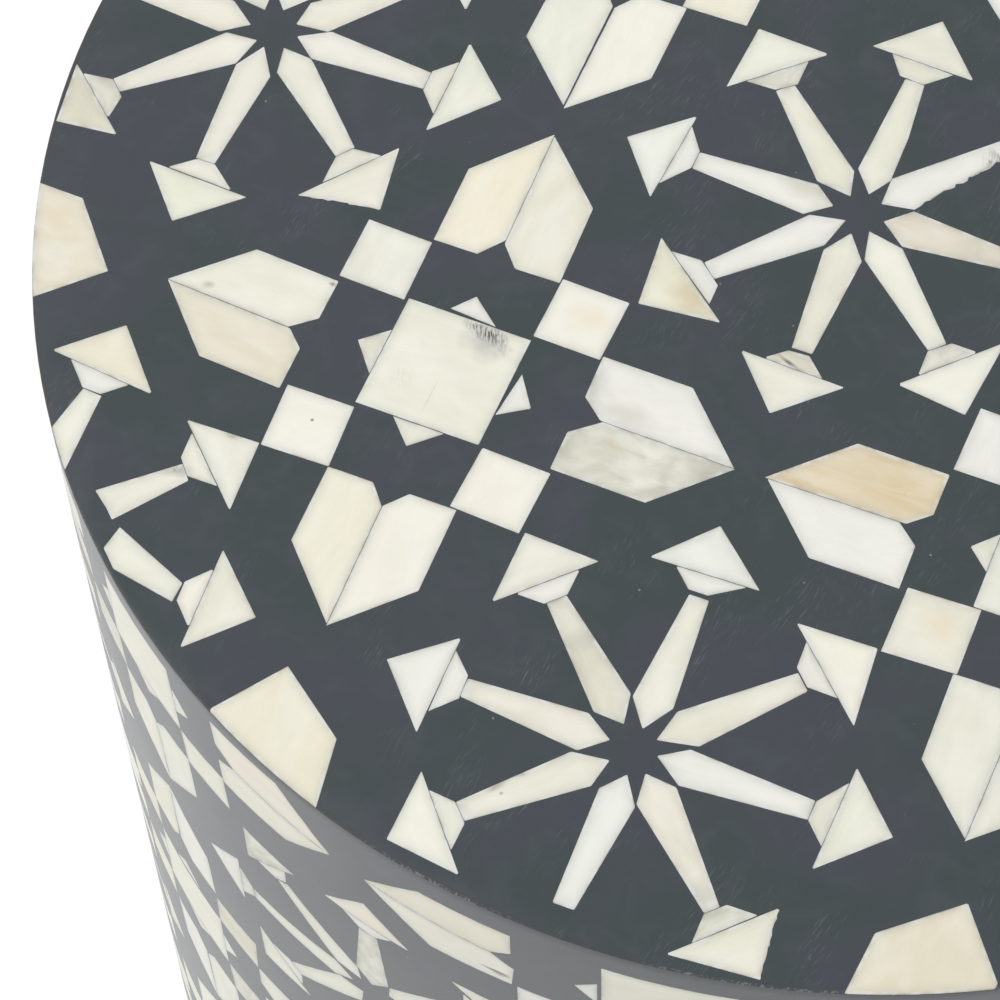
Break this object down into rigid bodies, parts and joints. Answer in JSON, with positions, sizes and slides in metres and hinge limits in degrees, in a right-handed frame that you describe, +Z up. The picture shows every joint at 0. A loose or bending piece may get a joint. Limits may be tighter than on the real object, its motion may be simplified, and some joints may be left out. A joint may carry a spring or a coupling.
{
  "type": "drum stool",
  "caption": "Round drum stool or side table, straight-walled, with geometric bone tiles set in dark resin over its top and wall, a boarded carcass inside and low glides below.",
  "frame": {"origin": "on the floor, under the middle of the stool", "axes": "+Z up along the axis of the drum; +X and +Y along the rows of the square lattice that the top's inlay is laid on; the picture looks from -Y and a little from +X"},
  "size_m": [0.38, 0.38, 0.445],
  "materials": {
    "tinted_resin": "charcoal tinted polyester resin, ground flush and waxed to a satin polish",
    "bone": "bleached bone, sanded flush and polished, cream with grey and tan clouds",
    "wall_inlay": "bone tiles and tinted resin ground to one smooth surface, satin",
    "fibreboard": "raw medium-density fibreboard",
    "painted_board": "fibreboard brushed with matt black paint",
    "plywood": "raw plywood",
    "softwood": "planed softwood",
    "nylon": "moulded black nylon",
    "screw_steel": "zinc-plated steel"
  },
  "bodies": {
    "root": {"top_resin": "tinted_resin", "top_bone_tiles": "bone", "top_board": "fibreboard", "wall_inlay": "wall_inlay", "wall_skin": "plywood", "base_board": "painted_board", "hoop_1": "plywood", "hoop_2": "plywood", "upright_1": "softwood", "upright_2": "softwood", "upright_3": "softwood", "upright_4": "softwood", "upright_5": "softwood", "upright_6": "softwood", "upright_7": "softwood", "upright_8": "softwood", "glide_1": "nylon", "glide_2": "nylon", "glide_3": "nylon", "glide_4": "nylon", "glide_screw_1": "screw_steel", "glide_screw_2": "screw_steel", "glide_screw_3": "screw_steel", "glide_screw_4": "screw_steel"}
  },
  "joints": []
}
